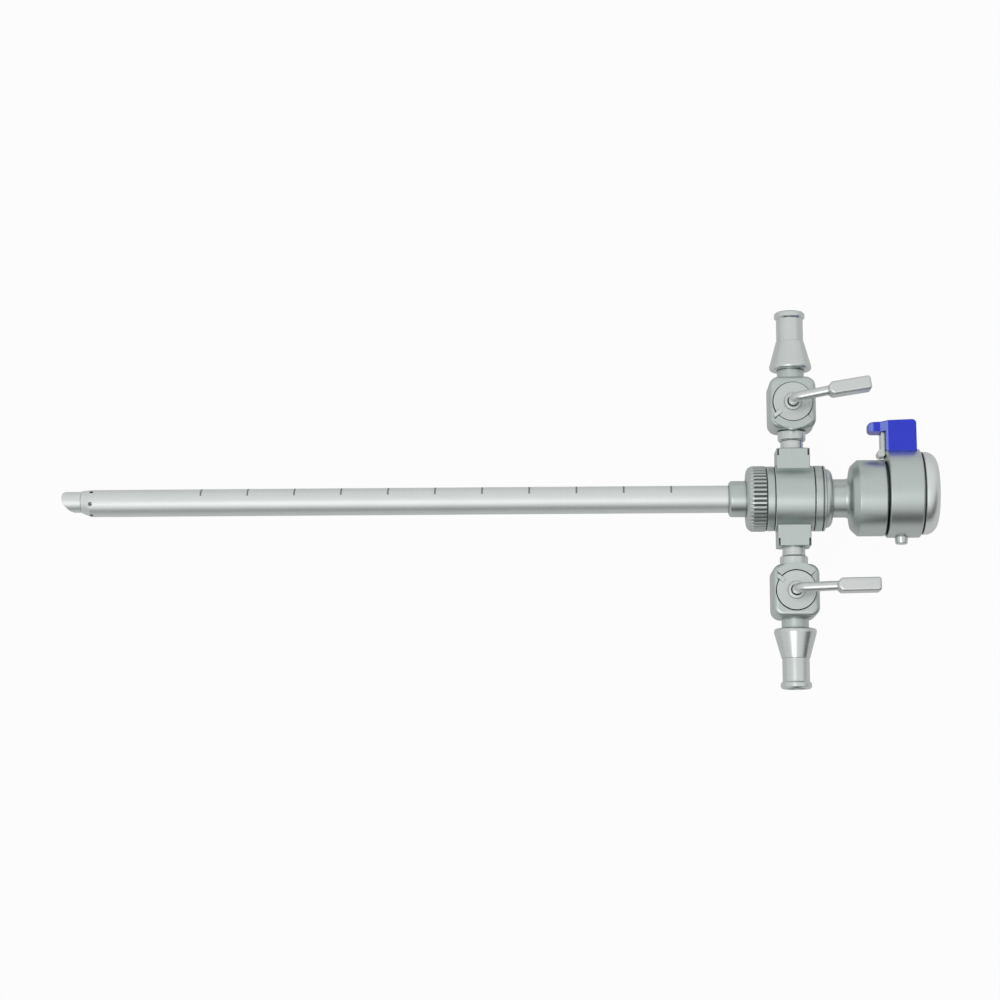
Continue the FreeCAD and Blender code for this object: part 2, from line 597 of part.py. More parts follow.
def lock_cap():
    bore = "sleeve_radius + join_gap"
    body = turned("lock_cap_turned", [
        ("0", bore), ("rear_seat", bore), ("rear_seat", "0"), ("rear_length", "0"),
        ("rear_length", "rear_radius"), ("0", "rear_radius")], "rear_x", "lock_lift")
    dress(body, "Fillet", rims(body, "rear_length", "rear_radius"), "rear_round")
    dress(body, "Chamfer", rims(body, "0", "rear_radius"), "edge_break")
    mouth = cylinder("cap_mouth", "socket_radius", "rear_length * 2", "rear_x", "channel_lift", "0", zToX)
    lead = cone("cap_lead_in", "socket_radius", "socket_radius + lead_in", "lead_in", "rear_end - lead_in",
                "channel_lift", "0", zToX)
    keep("lock_cap", cut("lock_cap_cut", body, mouth, lead))


# Taps
def tap(name, side):
    """One tap: side is 1 on the +Y block and -1 on the -Y block."""
    outward = Rotation(Vector(0, 0, 1), 90 * side)
    lever_angle = f"{name}_lever_angle"
    centre = f"{side} * housing_centre"

    def along(label, start, corners):
        return turned(label, corners, "tap_offset", f"{side} * ({start})", "0", outward)

    stub_start = "block_reach - stub_sunk"
    stub_length = f"housing_start - join_gap - ({stub_start})"
    stub = along(f"{name}_stub", stub_start, [
        ("0", "neck_bore"), (stub_length, "neck_bore"), (stub_length, "stub_radius"), ("0", "stub_radius")])
    keep(f"{name}_stub", stub)

    union_length = "housing_start - join_gap - union_start"
    union = along(f"{name}_union", "union_start", [
        ("0", "stub_radius + join_gap"), (union_length, "stub_radius + join_gap"),
        (union_length, "union_radius"), ("0", "union_radius")])
    dress(union, "Chamfer", rims(union, "0", "union_radius"), "union_chamfer")
    dress(union, "Chamfer", rims(union, union_length, "union_radius"), "edge_break")
    keep(f"{name}_union", union)

    half = "housing_height / 2"
    block = box(f"{name}_housing_block", "housing_width", "housing_length", "housing_height",
                "tap_offset - housing_width / 2", f"{centre} - housing_length / 2", f"-{half}")
    drum = cylinder(f"{name}_housing_drum", "housing_corner", "housing_height", "tap_offset", centre, f"-{half}")
    core = common(f"{name}_housing_core", block, drum)
    core = rounded(f"{name}_housing_corners", core, "housing_edge_round",
                   lambda edge: edge.BoundBox.ZLength > value("housing_height") - 1e-6)
    core = rounded(f"{name}_housing_rims", core, "housing_round", lambda edge: edge.BoundBox.ZLength < 1e-6)
    spigot = cylinder(f"{name}_spigot", "spigot_radius", "nozzle_start - housing_centre - join_gap", "tap_offset",
                      centre, "0", Rotation(Vector(1, 0, 0), -90 * side))
    segment = doc.addObject("Part::Cylinder", f"{name}_segment")
    segment.setExpression("Radius", expr("segment_radius"))
    segment.setExpression("Height", expr("segment_height + housing_round"))
    segment.setExpression("Angle", expr("segment_angle"))
    hubward = -90 * side - value("segment_angle") / 2
    place(segment, "tap_offset", centre, f"{half} - housing_round", Rotation(Vector(0, 0, 1), hubward))
    flow = cylinder(f"{name}_flow", "neck_bore", "nozzle_start * 2", "tap_offset",
                    f"{side} * (housing_start - housing_round)", "0", Rotation(Vector(1, 0, 0), -90 * side))
    key_seat = cone(f"{name}_key_seat", "key_radius - key_taper + running_gap", "key_radius + running_gap",
                    "housing_height", "tap_offset", centre, f"-{half}")
    recess = cylinder(f"{name}_disc_recess", "disc_radius + disc_gap", "disc_recess * 4", "tap_offset",
                      centre, f"{half} - disc_recess")
    keep(f"{name}_housing", cut(f"{name}_housing_cut", fused(f"{name}_housing_solid", core, spigot, segment),
                                flow, key_seat, recess))

    bead_end = "bead_start + bead_length"
    nozzle = along(f"{name}_nozzle", "nozzle_start", [
        ("0", "nozzle_bore"), (f"{bead_end} - nozzle_start", "nozzle_bore"),
        (f"{bead_end} - nozzle_start", "bead_radius"), ("bead_start - nozzle_start", "bead_radius"),
        ("bead_start - nozzle_start", "hose_radius"), ("stop_rim + stop_length", "hose_radius"),
        ("stop_rim + stop_length", "hose_radius + hose_step"), ("stop_rim", "stop_radius"), ("0", "stop_radius")])
    for place_text in (f"{bead_end} - nozzle_start", "bead_start - nozzle_start"):
        dress(nozzle, "Chamfer", rims(nozzle, place_text, "bead_radius"), "bead_chamfer")
    dress(nozzle, "Fillet", rims(nozzle, "0", "stop_radius"), "stop_round")
    keep(f"{name}_nozzle", nozzle)

    key_foot = f"{half} + end_gap + spring_thickness + tap_nut_height"
    plug_foot, disc_foot = f"{key_foot} - {half}", f"{key_foot} + {half} - disc_recess + running_gap"
    disc_top = f"{disc_foot} + disc_thickness"
    well = "rod_radius + rod_well_gap"
    key_solid = turned(f"{name}_key_solid", [
        ("0", "0"), ("0", "key_stem_radius"), (plug_foot, "key_stem_radius"),
        (plug_foot, "key_radius - key_taper"), (disc_foot, "key_radius"), (disc_foot, "disc_radius"),
        (disc_top, "disc_radius"), (f"{disc_top} - disc_dish", "boss_ring_radius"),
        (f"{disc_top} - disc_dish + boss_ring_height", "boss_ring_radius"),
        (f"{disc_top} - disc_dish + boss_ring_height", well), (f"{disc_top} - disc_dish", well),
        (f"{disc_top} - disc_dish", "0")],
        "tap_offset", centre, f"-({key_foot})", xToZ)
    spin = Rotation(Vector(0, 0, 1), value(lever_angle))
    way = cylinder(f"{name}_key_bore", "key_bore", "key_radius * 4",
                   f"tap_offset - cos({lever_angle}) * key_radius * 2",
                   f"{centre} - sin({lever_angle}) * key_radius * 2", "0", spin * zToX)
    pin_angle = f"-{side} * pin_angle"
    pin = box(f"{name}_stop_pin", "pin_length", "pin_width", "segment_height - end_gap",
              f"tap_offset + cos({pin_angle}) * pin_start + sin({pin_angle}) * pin_width / 2",
              f"{centre} + sin({pin_angle}) * pin_start - cos({pin_angle}) * pin_width / 2",
              f"{half} + end_gap", Rotation(Vector(0, 0, 1), value(pin_angle)))
    keep(f"{name}_key", cut(f"{name}_key_cut", fused(f"{name}_key_pinned", key_solid, pin), way))

    grip_start = f"{name}_grip_start"
    grip_end = f"{grip_start} + grip_length"
    grip = padded_outline(f"{name}_grip", "XY_Plane", [
        (grip_start, "grip_chamfer - grip_width / 2"), (f"{grip_start} + grip_chamfer", "-grip_width / 2"),
        (grip_end, "-grip_width / 2"), (grip_end, "grip_width / 2"),
        (f"{grip_start} + grip_chamfer", "grip_width / 2"), (grip_start, "grip_width / 2 - grip_chamfer")],
        "grip_height", "tap_offset", centre, "grip_centre", spin)
    dress(grip, "Fillet", [f"Edge{number + 1}" for number in range(len(grip.Tip.Shape.Edges))], "grip_round")
    keep(f"{name}_grip", grip)

    rod_foot = f"{half} - disc_recess + running_gap + disc_thickness - disc_dish + join_gap"
    bend_x = "rod_bend * (1 - sin(rod_climb))"
    bend_z = f"grip_centre - rod_bend * cos(rod_climb) - ({grip_start} - {bend_x}) * tan(rod_climb)"
    post = cylinder(f"{name}_rod_post", "rod_radius", f"{bend_z} - ({rod_foot})", "0", "0", rod_foot)
    bend = torus(f"{name}_rod_bend", "rod_bend", "rod_radius", "rod_bend", "0", bend_z,
                 Rotation(Vector(-1, 0, 0), Vector(0, 0, 1), Vector(0, 1, 0), "ZXY"))
    bend.setExpression("Angle3", expr("90 - rod_climb"))
    arm = cylinder(f"{name}_rod_arm", "rod_radius", f"({grip_start} + grip_width / 2 - {bend_x}) / cos(rod_climb)",
                   bend_x, "0", f"{bend_z} + rod_bend * cos(rod_climb)",
                   Rotation(Vector(0, 1, 0), 90 - value("rod_climb")))
    rod_solid = fused(f"{name}_rod_solid", post, bend, arm)
    place(rod_solid, "tap_offset", centre, "0", spin)
    keep(f"{name}_rod", cut(f"{name}_rod_cut", rod_solid, grip))

    washer = turned(f"{name}_washer", [
        ("0", "key_stem_radius + join_gap"), ("spring_thickness", "key_stem_radius + join_gap"),
        ("spring_thickness", "spring_radius"), ("0", "spring_radius - spring_thickness")],
        "tap_offset", centre, f"-({half} + end_gap + spring_thickness)", xToZ)
    keep(f"{name}_washer", washer)
    prism = doc.addObject("Part::Prism", f"{name}_nut_prism")
    prism.Polygon = 6
    prism.setExpression("Circumradius", expr("tap_nut_width / sqrt(3)"))
    prism.setExpression("Height", expr("tap_nut_height - join_gap"))
    place(prism, "tap_offset", centre, f"-({key_foot})", spin)
    nut_bore = cylinder(f"{name}_nut_bore", "key_stem_radius + join_gap", "tap_nut_height * 2", "tap_offset",
                        centre, f"-({key_foot}) - tap_nut_height / 2")
    keep(f"{name}_nut", cut(f"{name}_nut_cut", prism, nut_bore))


inner_tube()
outer_tube()
tube_ferrule()
coupling_ring()
hub_core()
journal_seals()
rotating_collar()
collar_nut()
end_cap()
lock_body()
scope_seal()
lock_latch()
lock_ring()
lock_stud()
lock_lever()
lever_bracket()
ring_washer()
lock_cap()
tap("inflow", 1)
tap("outflow", -1)
doc.recompute()

for thing in doc.Objects:
    if "Invalid" in thing.State or "Error" in thing.State:
        raise RuntimeError(f"{thing.Name} failed to build: {thing.State}")
for label, thing in made.items():
    shape = thing.Shape
    if shape.isNull() or not shape.isValid() or not shape.Solids:
        raise RuntimeError(f"{label} has no valid solid")
for label, thing in made.items():
    thing.Shape.exportStep(os.path.join("parts", label + ".step"))
    extent = thing.Shape.BoundBox
    print(f"{label}: {len(thing.Shape.Solids)} solid, {thing.Shape.Volume:.2f} mm3, "
          f"x {extent.XMin:.2f} to {extent.XMax:.2f}, y {extent.YMin:.2f} to {extent.YMax:.2f}, "
          f"z {extent.ZMin:.2f} to {extent.ZMax:.2f}")
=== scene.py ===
import math

import bpy
from mathutils import Matrix, Vector


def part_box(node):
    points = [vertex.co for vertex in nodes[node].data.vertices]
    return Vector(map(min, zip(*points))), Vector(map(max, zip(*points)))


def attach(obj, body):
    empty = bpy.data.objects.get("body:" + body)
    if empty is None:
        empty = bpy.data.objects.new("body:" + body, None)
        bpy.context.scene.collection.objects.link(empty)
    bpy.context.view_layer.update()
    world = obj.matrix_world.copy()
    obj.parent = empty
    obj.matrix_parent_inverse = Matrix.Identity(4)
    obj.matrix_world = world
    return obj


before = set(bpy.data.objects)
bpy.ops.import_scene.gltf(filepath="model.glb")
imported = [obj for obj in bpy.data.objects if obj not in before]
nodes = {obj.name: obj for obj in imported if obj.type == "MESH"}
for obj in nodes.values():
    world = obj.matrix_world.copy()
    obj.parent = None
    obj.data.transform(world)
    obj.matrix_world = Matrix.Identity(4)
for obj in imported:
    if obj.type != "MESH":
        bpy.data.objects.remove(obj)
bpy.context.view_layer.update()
mm = 0.001
white = (1, 1, 1, 1)

# Camera, floor and light. The camera stands over the floor, tilted towards the outflow tap.
camera = {
    "place": (-0.027287, -0.073479, 0.483173),
    "yaw": 2.5,
    "tilt": 8.659,
    "roll": -0.026,
    "lens": 82.8,
    "sensor": 36,
    "nearest": 0.01,
    "farthest": 20,
}
studio = {
    "floorDrop": 0.2 * mm,
    "floorSize": 6.0,
    "floorGlow": 0.965,
    "floorMirror": 0.4,
    "floorColour": 0.42,
    "keyPlace": (-0.2, -0.25, 0.75),
    "keySize": 0.5,
    "keyPower": 0.74,
    "skyLevel": 0.95,
    "edgeLevel": 0.88,
    "duskLevel": 0.03,
    "duskSide": (0.38, -0.92, 0.0),
    "duskReach": (-0.1, 0.9),
    "duskHeight": (0.75, 0.3),
}

# Surfaces. Stretch, scale and depth are those of the grain, which runs round the axis of turned steel.
grain = {
    "detail": 3,
    "tone": (0.94, 1.05),
    "roughSpread": (-0.05, 0.06),
    "bump": 0.02 * mm,
    "cloudScale": 140,
    "cloudDetail": 2,
    "cloudTone": (0.97, 1.03),
    "cornerSamples": 6,
}
# Painted highlight on rounded edges and painted shade in crevices and gaps between parts
rimHighlightAndShade = {
    "cornerSamples": 6,
    "cornerTurn": (0.995, 0.86),
    "creviceSamples": 8,
    "creviceReach": 0.7 * mm,
    "creviceDepth": (0.78, 0.3),
    "creviceShadeColour": (0.012, 0.014, 0.014, 1),
    "creviceRough": 0.3,
}
steel = {
    "metallic": 1.0,
    "stretch": (1, 1, 1),
    "scale": 5000.0,
    "depth": 0.05,
    # The edge colour is a painted highlight along edges; the crevice share sets the painted shade in
    # crevices
    "edgeHighlightColour": (0.9, 0.93, 0.92),
    "edgeHighlightShare": 0.6,
    "edgeRadius": 0.12 * mm,
    "creviceShadeShare": 0.85,
}
satin = {**steel, "colour": (0.60, 0.66, 0.64), "rough": 0.36}
alongShaft = {"stretch": (1, 0.02, 0.02), "scale": 9000.0}
alongTap = {"stretch": (0.02, 1, 0.02), "scale": 9000.0}
drawn = {**steel, **alongShaft, "colour": (0.83, 0.87, 0.86), "rough": 0.5}
plastic = {
    "metallic": 0.0,
    "colour": (0.016, 0.036, 0.72),
    "rough": 0.24,
    "stretch": (1, 1, 1),
    "scale": 2500.0,
    "depth": 0.03,
    # A lighter blue painted highlight along the lever's edges, and painted shade in its crevices
    "edgeHighlightColour": (0.10, 0.17, 1.0),
    "edgeHighlightShare": 0.7,
    "edgeRadius": 0.35 * mm,
    "creviceShadeShare": 0.5,
}
rubber = {
    "metallic": 0.0,
    "colour": (0.02, 0.02, 0.022),
    "rough": 0.6,
    "stretch": (1, 1, 1),
    "scale": 2500.0,
    "depth": 0.1,
    # A painted highlight along the seals' edges and painted shade in their crevices
    "edgeHighlightColour": (0.05, 0.05, 0.05),
    "edgeHighlightShare": 0.3,
    "edgeRadius": 0.12 * mm,
    "creviceShadeShare": 0.85,
}
looks = {
    "steelDrawnTube": drawn,
    "steelInnerTube": drawn,
    "steelTurnedAlongShaft": {**satin, **alongShaft, "rough": 0.35},
    "steelTurnedAlongTap": {**steel, **alongTap, "colour": (0.72, 0.765, 0.75), "rough": 0.25},
    "steelTurnedCap": {**drawn, "rough": 0.36},
    "steelFlutedRing": {**satin, **alongShaft, "rough": 0.35},
    "steelBlasted": satin,
    "steelFacedDisc": {**steel, "colour": (0.68, 0.725, 0.71), "rough": 0.32},
    "steelBright": {**steel, "colour": (0.74, 0.77, 0.76), "rough": 0.32, "scale": 4000.0},
    "steelPolished": {**steel, "colour": (0.70, 0.745, 0.73), "rough": 0.2, "scale": 3000.0, "depth": 0.02},
    "bluePlastic": plastic,
    "sealRubber": rubber,
    "etchedMarks": {**steel, "metallic": 0.6, "colour": (0.26, 0.27, 0.27), "rough": 0.45, "scale": 900.0,
                    "edgeHighlightShare": 0.0, "creviceShadeShare": 0.0},
}
wornBy = {
    "steelDrawnTube": ["outer_tube"],
    "steelInnerTube": ["inner_tube"],
    "steelTurnedAlongShaft": ["tube_ferrule", "hub_core", "rotating_collar", "collar_nut", "end_cap",
                              "lock_body", "lock_ring", "ring_washer"],
    "steelTurnedAlongTap": ["inflow_stub", "inflow_union", "inflow_nozzle",
                            "outflow_stub", "outflow_union", "outflow_nozzle"],
    "steelTurnedCap": ["lock_cap"],
    "steelFlutedRing": ["coupling_ring"],
    "steelBlasted": ["inflow_housing", "inflow_washer", "inflow_nut",
                     "outflow_housing", "outflow_washer", "outflow_nut"],
    "steelFacedDisc": ["inflow_key", "outflow_key"],
    "steelBright": ["inflow_rod", "inflow_grip", "outflow_rod", "outflow_grip"],
    "steelPolished": ["lock_stud", "lever_bracket", "lock_latch"],
    "bluePlastic": ["lock_lever"],
    "sealRubber": ["journal_seals", "scope_seal"],
}

# Details shown by shading alone: a bump that domes the key faces, painted shadow at the outer tube's nose,
# painted shade in the flutes and a painted highlight on the lever's facets
keyFace = {
    "centre": (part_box("inflow_key")[0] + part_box("inflow_key")[1]) / 2,
    "slope": -0.09,
}
# Painted shadow on the inner tube just in front of the outer tube's nose, darkest against it
noseShadow = {
    "front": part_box("outer_tube")[0].x - 0.22 * mm,
    "back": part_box("outer_tube")[0].x + 0.02 * mm,
    "share": 0.85,
    "colour": (0.03, 0.035, 0.035, 1),
}
# Painted shade in the flute grooves of the coupling ring, darker deeper in
fluteShade = {
    "front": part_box("coupling_ring")[0].x + 1.35 * mm,
    "radius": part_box("coupling_ring")[1].z,
    "rim": 0.03 * mm,
    "depth": 0.2 * mm,
    "share": 0.8,
    "colour": (0.02, 0.024, 0.024, 1),
}
# Painted highlight: lever faces turned towards minus X and up get a lighter blue
facetSheen = {
    "side": (-0.7, 0.0, 0.7),
    "turn": (0.88, 0.96),
    "share": 0.8,
    "colour": (0.30, 0.40, 1.0, 1),
}

# Printed marks on the outer tube, counted in millimetres from the tip
depthMarks = {
    "tipX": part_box("inner_tube")[0].x,
    "radius": 2.9 * mm,
    "stand": 0.012 * mm,
    "first": 30,
    "last": 130,
    "step": 10,
    "width": 0.35 * mm,
    "halfArc": 68,
    "sides": 144,
    "numeralSize": 1.75 * mm,
    "numeralGap": 0.35 * mm,
    "numeralStrips": 9,
}


def clearSelection():
    bpy.ops.object.select_all(action="DESELECT")


# Node helpers. An input takes a socket, which is linked, or a plain value.
def plug(tree, node, inputs):
    for key, source in inputs.items():
        if isinstance(source, bpy.types.NodeSocket):
            tree.links.new(source, node.inputs[key])
        else:
            node.inputs[key].default_value = source
    return node


def addNode(tree, kind, inputs=None, operation=None):
    node = tree.nodes.new(f"ShaderNode{kind}")
    if operation:
        node.operation = operation
    return plug(tree, node, inputs or {})


def addMath(tree, operation, *sources):
    return addNode(tree, "Math", dict(enumerate(sources)), operation).outputs["Value"]


def addVector(tree, operation, *sources):
    outlet = "Value" if operation in ("DOT_PRODUCT", "LENGTH") else "Vector"
    return addNode(tree, "VectorMath", dict(enumerate(sources)), operation).outputs[outlet]


def addRange(tree, value, before, after=(0, 1), smooth=False):
    node = tree.nodes.new("ShaderNodeMapRange")
    node.interpolation_type = "SMOOTHSTEP" if smooth else "LINEAR"
    plug(tree, node, {"Value": value, "From Min": before[0], "From Max": before[1],
                      "To Min": after[0], "To Max": after[1]})
    return node.outputs["Result"]


def addMix(tree, share, first, second):
    node = tree.nodes.new("ShaderNodeMix")
    node.data_type = "RGBA"
    return plug(tree, node, {"Factor": share, "A": first, "B": second}).outputs["Result"]


def addCorner(tree, radius, samples):
    node = addNode(tree, "Bevel", {"Radius": radius})
    node.samples = samples
    return node.outputs["Normal"]


def makeCamera(settings):
    bpy.context.scene.view_settings.view_transform = "Standard"
    lens = bpy.data.cameras.new("photoCamera")
    lens.lens = settings["lens"]
    lens.sensor_width = settings["sensor"]
    lens.clip_start = settings["nearest"]
    lens.clip_end = settings["farthest"]
    eye = bpy.data.objects.new("photoCamera", lens)
    bpy.context.scene.collection.objects.link(eye)
    turn = (Matrix.Rotation(math.radians(settings["yaw"]), 4, "Y")
            @ Matrix.Rotation(math.radians(settings["tilt"]), 4, "X")
            @ Matrix.Rotation(math.radians(settings["roll"]), 4, "Z"))
    eye.matrix_world = Matrix.Translation(settings["place"]) @ turn
    bpy.context.scene.camera = eye


def makeLamp(settings):
    place = Vector(settings["keyPlace"])
    light = bpy.data.lights.new("keyLamp", "AREA")
    light.shape = "DISK"
    light.size = settings["keySize"]
    light.energy = settings["keyPower"]
    lamp = bpy.data.objects.new("keyLamp", light)
    bpy.context.scene.collection.objects.link(lamp)
    lamp.location = place
    lamp.rotation_euler = (-place).to_track_quat("-Z", "Y").to_euler()


def makeSky(settings):
    world = bpy.data.worlds.new("studio")
    bpy.context.scene.world = world
    world.use_nodes = True
    tree = world.node_tree
    tree.nodes.clear()
    toward = addNode(tree, "TexCoord").outputs["Generated"]
    height = addNode(tree, "SeparateXYZ", {"Vector": toward}).outputs["Z"]
    low = addRange(tree, height, settings["duskHeight"], smooth=True)
    aside = addVector(tree, "DOT_PRODUCT", toward, Vector(settings["duskSide"]).normalized())
    dusk = addRange(tree, aside, settings["duskReach"], smooth=True)
    horizon = addRange(tree, dusk, (0, 1), (settings["edgeLevel"], settings["duskLevel"]))
    level = addRange(tree, low, (0, 1), (settings["skyLevel"], horizon))
    lit = addNode(tree, "Background", {"Strength": level}).outputs["Background"]
    seen = addNode(tree, "Background", {"Color": white}).outputs["Background"]
    direct = addNode(tree, "LightPath").outputs["Is Camera Ray"]
    mix = addNode(tree, "MixShader", {"Fac": direct, 1: lit, 2: seen}).outputs["Shader"]
    addNode(tree, "OutputWorld", {"Surface": mix})


def makeFloor(settings):
    lowest = min(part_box(name)[0].z for name in nodes)
    clearSelection()
    bpy.ops.mesh.primitive_plane_add(size=settings["floorSize"],
                                     location=(0, 0, lowest - settings["floorDrop"]))
    floor = bpy.context.object
    floor.name = "floor"
    paint = bpy.data.materials.new("paleFloor")
    paint.use_nodes = True
    tree = paint.node_tree
    tree.nodes.clear()
    path = addNode(tree, "LightPath").outputs
    through = addMath(tree, "MAXIMUM", path["Is Glossy Ray"], path["Is Transmission Ray"])
    mirrored = addMath(tree, "MULTIPLY", through, settings["floorMirror"])
    direct = addMath(tree, "MAXIMUM", path["Is Camera Ray"], mirrored)
    share = addMath(tree, "MULTIPLY", direct, settings["floorGlow"])
    grey = (*[settings["floorColour"]] * 3, 1)
    flat = addNode(tree, "BsdfDiffuse", {"Color": grey}).outputs["BSDF"]
    glow = addNode(tree, "Emission", {"Color": white}).outputs["Emission"]
    mix = addNode(tree, "MixShader", {"Fac": share, 1: flat, 2: glow}).outputs["Shader"]
    addNode(tree, "OutputMaterial", {"Surface": mix})
    floor.data.materials.append(paint)


def newGroup(name, takes, gives):
    group = bpy.data.node_groups.new(name, "ShaderNodeTree")
    for label, (kind, start) in takes.items():
        socket = group.interface.new_socket(label, in_out="INPUT", socket_type=f"NodeSocket{kind}")
        socket.default_value = start
    for label, kind in gives.items():
        group.interface.new_socket(label, in_out="OUTPUT", socket_type=f"NodeSocket{kind}")
    return group, group.nodes.new("NodeGroupInput").outputs, group.nodes.new("NodeGroupOutput")


def makeGrainGroup(settings):
    group, takes, gives = newGroup("satinGrain", {
        "Stretch": ("Vector", (1, 1, 1)),
        "Scale": ("Float", 900.0),
        "Colour": ("Color", (0.6, 0.6, 0.6, 1)),
        "Roughness": ("Float", 0.3),
        "Depth": ("Float", 0.05),
        "Edge Radius": ("Float", 0.1 * mm),
    }, {"Colour": "Color", "Roughness": "Float", "Normal": "Vector"})
    place = addNode(group, "TexCoord").outputs["Object"]
    stretched = addVector(group, "MULTIPLY", place, takes["Stretch"])
    fine = addNode(group, "TexNoise", {"Vector": stretched, "Scale": takes["Scale"],
                                       "Detail": settings["detail"]}).outputs["Fac"]
    cloud = addNode(group, "TexNoise", {"Vector": place, "Scale": settings["cloudScale"],
                                        "Detail": settings["cloudDetail"]}).outputs["Fac"]
    tone = addMath(group, "MULTIPLY", addRange(group, fine, (0, 1), settings["tone"]),
                   addRange(group, cloud, (0, 1), settings["cloudTone"]))
    tint = addNode(group, "VectorMath", {0: takes["Colour"], "Scale": tone}, "SCALE").outputs["Vector"]
    rough = addMath(group, "ADD", takes["Roughness"], addRange(group, fine, (0, 1), settings["roughSpread"]))
    corner = addCorner(group, takes["Edge Radius"], settings["cornerSamples"])
    bump = addNode(group, "Bump", {"Strength": takes["Depth"], "Distance": settings["bump"],
                                   "Height": fine, "Normal": corner}).outputs["Normal"]
    plug(group, gives, {"Colour": tint, "Roughness": rough, "Normal": bump})
    return group


# A painted highlight on edges, masked by a rounded-corner normal, and a painted shade in crevices, masked by
# ambient occlusion
def makeWearGroup(settings):
    group, takes, gives = newGroup("edgeHighlightsAndCreviceShade", {
        "Colour": ("Color", (0.6, 0.6, 0.6, 1)),
        "Roughness": ("Float", 0.3),
        "Edge Radius": ("Float", 0.1 * mm),
        "Edge Highlight Colour": ("Color", (0.9, 0.9, 0.9, 1)),
        "Edge Highlight Share": ("Float", 0.6),
        "Crevice Reach": ("Float", 0.7 * mm),
        "Crevice Shade Share": ("Float", 0.8),
    }, {"Colour": "Color", "Roughness": "Float"})
    corner = addCorner(group, takes["Edge Radius"], settings["cornerSamples"])
    facing = addNode(group, "NewGeometry").outputs["Normal"]
    rim = addRange(group, addVector(group, "DOT_PRODUCT", corner, facing), settings["cornerTurn"])
    hollow = addNode(group, "AmbientOcclusion", {"Distance": takes["Crevice Reach"]})
    hollow.samples = settings["creviceSamples"]
    crevice = addRange(group, hollow.outputs["AO"], settings["creviceDepth"])
    # Painted highlight on the rounded edges, left out inside crevices
    highlightMask = addMath(group, "MULTIPLY", rim, addMath(group, "SUBTRACT", 1.0, crevice))
    edgeHighlightShare = addMath(group, "MULTIPLY", highlightMask, takes["Edge Highlight Share"])
    bright = addMix(group, edgeHighlightShare, takes["Colour"], takes["Edge Highlight Colour"])
    # Painted shade in crevices and between parts
    creviceShadeShare = addMath(group, "MULTIPLY", crevice, takes["Crevice Shade Share"])
    dark = addMix(group, creviceShadeShare, bright, settings["creviceShadeColour"])
    dull = addMath(group, "MULTIPLY_ADD", creviceShadeShare, settings["creviceRough"], takes["Roughness"])
    plug(group, gives, {"Colour": dark, "Roughness": dull})
    return group


def makePaint(name, look, grainGroup, highlightShadeGroup):
    paint = bpy.data.materials.new(name)
    paint.use_nodes = True
    tree = paint.node_tree
    body = tree.nodes.new("ShaderNodeGroup")
    body.node_tree = grainGroup
    plug(tree, body, {"Stretch": look["stretch"], "Scale": look["scale"], "Colour": (*look["colour"], 1),
                      "Roughness": look["rough"], "Depth": look["depth"], "Edge Radius": look["edgeRadius"]})
    # Edges get a painted highlight and crevices a painted shade
    edges = tree.nodes.new("ShaderNodeGroup")
    edges.node_tree = highlightShadeGroup
    plug(tree, edges, {"Colour": body.outputs["Colour"], "Roughness": body.outputs["Roughness"],
                       "Edge Radius": look["edgeRadius"], "Edge Highlight Colour": (*look["edgeHighlightColour"], 1),
                       "Edge Highlight Share": look["edgeHighlightShare"], "Crevice Reach": rimHighlightAndShade["creviceReach"],
                       "Crevice Shade Share": look["creviceShadeShare"]})
    plug(tree, tree.nodes["Principled BSDF"], {
        "Metallic": look["metallic"], "Base Color": edges.outputs["Colour"],
        "Roughness": edges.outputs["Roughness"], "Normal": body.outputs["Normal"]})
    return paint


def domeFace(paint, settings):
    tree = paint.node_tree
    place = addNode(tree, "TexCoord").outputs["Object"]
    centre = (settings["centre"].x, abs(settings["centre"].y), 0)
    folded = addVector(tree, "ABSOLUTE", place)  # both taps on one side
    flat = addVector(tree, "MULTIPLY", addVector(tree, "SUBTRACT", folded, centre), (1, 1, 0))
    rise = addMath(tree, "MULTIPLY", addVector(tree, "LENGTH", flat), settings["slope"])
    shader = tree.nodes["Principled BSDF"]
    normal = shader.inputs["Normal"].links[0].from_socket
    dome = addNode(tree, "Bump", {"Distance": 1.0, "Height": rise, "Normal": normal}).outputs["Normal"]
    plug(tree, shader, {"Normal": dome})


# Mixes a colour into the base colour where a mask is set; used for the painted shade and painted highlight
def tintWhere(paint, mask, colour):
    tree = paint.node_tree
    shader = tree.nodes["Principled BSDF"]
    plain = shader.inputs["Base Color"].links[0].from_socket
    plug(tree, shader, {"Base Color": addMix(tree, mask, plain, colour)})


# Paints a shadow on the inner tube in front of the outer tube's nose
def shadeSeam(paint, settings):
    tree = paint.node_tree
    place = addNode(tree, "TexCoord").outputs["Object"]
    x = addNode(tree, "SeparateXYZ", {"Vector": place}).outputs["X"]
    along = addRange(tree, x, (settings["front"], settings["back"]), (0, settings["share"]), smooth=True)
    inFront = addMath(tree, "LESS_THAN", x, settings["back"])
    tintWhere(paint, addMath(tree, "MULTIPLY", along, inFront), settings["colour"])


# Paints shade into the flute grooves, darker the deeper they go
def shadeFlutes(paint, settings):
    tree = paint.node_tree
    place = addNode(tree, "TexCoord").outputs["Object"]
    x = addNode(tree, "SeparateXYZ", {"Vector": place}).outputs["X"]
    fromAxis = addVector(tree, "LENGTH", addVector(tree, "MULTIPLY", place, (0, 1, 1)))
    reach = (settings["radius"] - settings["rim"], settings["radius"] - settings["depth"])
    deep = addRange(tree, fromAxis, reach, (0, settings["share"]))
    behind = addMath(tree, "GREATER_THAN", x, settings["front"])
    tintWhere(paint, addMath(tree, "MULTIPLY", deep, behind), settings["colour"])


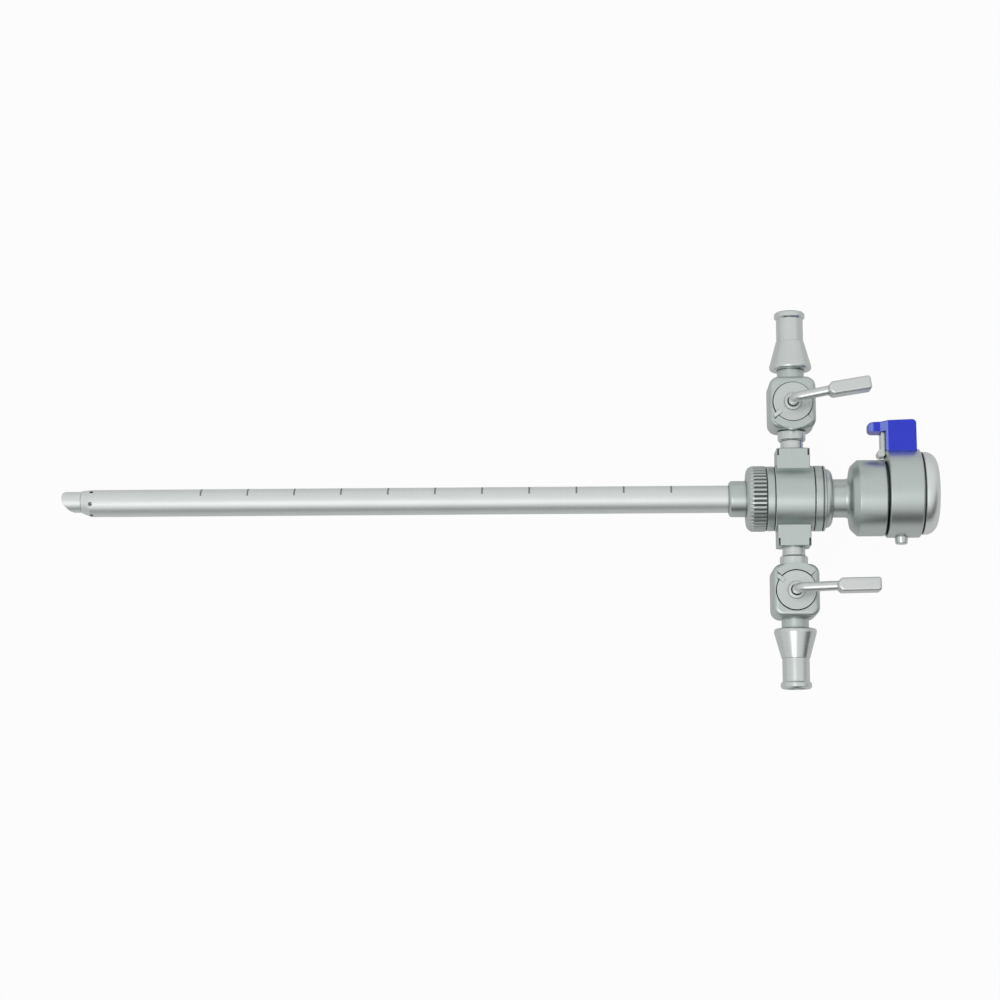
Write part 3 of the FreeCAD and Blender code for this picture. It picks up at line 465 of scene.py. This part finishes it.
# Paints a highlight on the faces turned towards the given side
def lightenFacets(paint, settings):
    tree = paint.node_tree
    facing = addNode(tree, "NewGeometry").outputs["True Normal"]
    toward = addVector(tree, "DOT_PRODUCT", facing, Vector(settings["side"]).normalized())
    tintWhere(paint, addRange(tree, toward, settings["turn"], (0, settings["share"])), settings["colour"])


def bendOntoTube(points, x, radius):
    for point in points:
        across, around = point.co.x, point.co.y / radius
        point.co = Vector((x + across, radius * math.cos(around), -radius * math.sin(around)))


def makeTick(x, settings):
    clearSelection()
    bpy.ops.mesh.primitive_cylinder_add(
        vertices=settings["sides"], radius=settings["radius"] + settings["stand"], depth=settings["width"],
        end_fill_type="NOTHING", location=(x, 0, 0), rotation=(0, math.radians(90), 0))
    tick = bpy.context.object
    bpy.ops.object.transform_apply(location=True, rotation=True, scale=True)
    arcEnd = math.cos(math.radians(settings["halfArc"])) * settings["radius"]
    bpy.ops.object.mode_set(mode="EDIT")
    bpy.ops.mesh.select_mode(type="FACE")
    bpy.ops.mesh.select_all(action="DESELECT")
    bpy.ops.object.mode_set(mode="OBJECT")
    for face in tick.data.polygons:
        face.select = face.center.y < arcEnd
    bpy.ops.object.mode_set(mode="EDIT")
    bpy.ops.mesh.delete(type="FACE")
    bpy.ops.object.mode_set(mode="OBJECT")
    return tick


def makeNumeral(text, x, settings):
    clearSelection()
    bpy.ops.object.text_add(location=(0, 0, 0))
    bpy.context.object.data.body = text
    bpy.context.object.data.size = settings["numeralSize"]
    bpy.context.object.data.align_y = "CENTER"
    bpy.ops.object.convert(target="MESH")
    numeral = bpy.context.object
    bpy.ops.object.mode_set(mode="EDIT")
    strip = settings["numeralSize"] / settings["numeralStrips"]
    for i in range(1, settings["numeralStrips"]):  # strips narrow enough to lie on the round tube
        bpy.ops.mesh.select_all(action="SELECT")
        bpy.ops.mesh.bisect(plane_co=(0, i * strip - settings["numeralSize"] / 2, 0), plane_no=(0, 1, 0))
    bpy.ops.object.mode_set(mode="OBJECT")
    bendOntoTube(numeral.data.vertices, x + settings["numeralGap"], settings["radius"] + settings["stand"])
    return numeral


def makeDepthMarks(settings, paint):
    pieces = []
    for depth in range(settings["first"], settings["last"] + 1, settings["step"]):
        x = settings["tipX"] + depth * mm
        pieces.append(makeTick(x, settings))
        pieces.append(makeNumeral(str(depth), x, settings))
    clearSelection()
    for piece in pieces:
        piece.select_set(True)
    bpy.context.view_layer.objects.active = pieces[0]
    bpy.ops.object.join()
    marks = bpy.context.object
    marks.name = "depthMarks"
    bpy.ops.object.shade_smooth()
    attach(marks, "hub")
    marks.data.materials.append(paint)


def wear(node, paint):
    piece = nodes[node]
    if not piece.data.materials:
        piece.data.materials.append(paint)
    for slot in piece.material_slots:
        slot.material = paint


makeCamera(camera)
makeLamp(studio)
makeSky(studio)
makeFloor(studio)
print("camera, floor and light are set")

grainGroup = makeGrainGroup(grain)
highlightShadeGroup = makeWearGroup(rimHighlightAndShade)
paints = {name: makePaint(name, look, grainGroup, highlightShadeGroup) for name, look in looks.items()}
shadeFlutes(paints["steelFlutedRing"], fluteShade)
shadeSeam(paints["steelInnerTube"], noseShadow)
domeFace(paints["steelFacedDisc"], keyFace)
lightenFacets(paints["bluePlastic"], facetSheen)
for name, pieces in wornBy.items():
    for piece in pieces:
        wear(piece, paints[name])
print("solids are finished")

makeDepthMarks(depthMarks, paints["etchedMarks"])
print("depth marks are on the shaft")
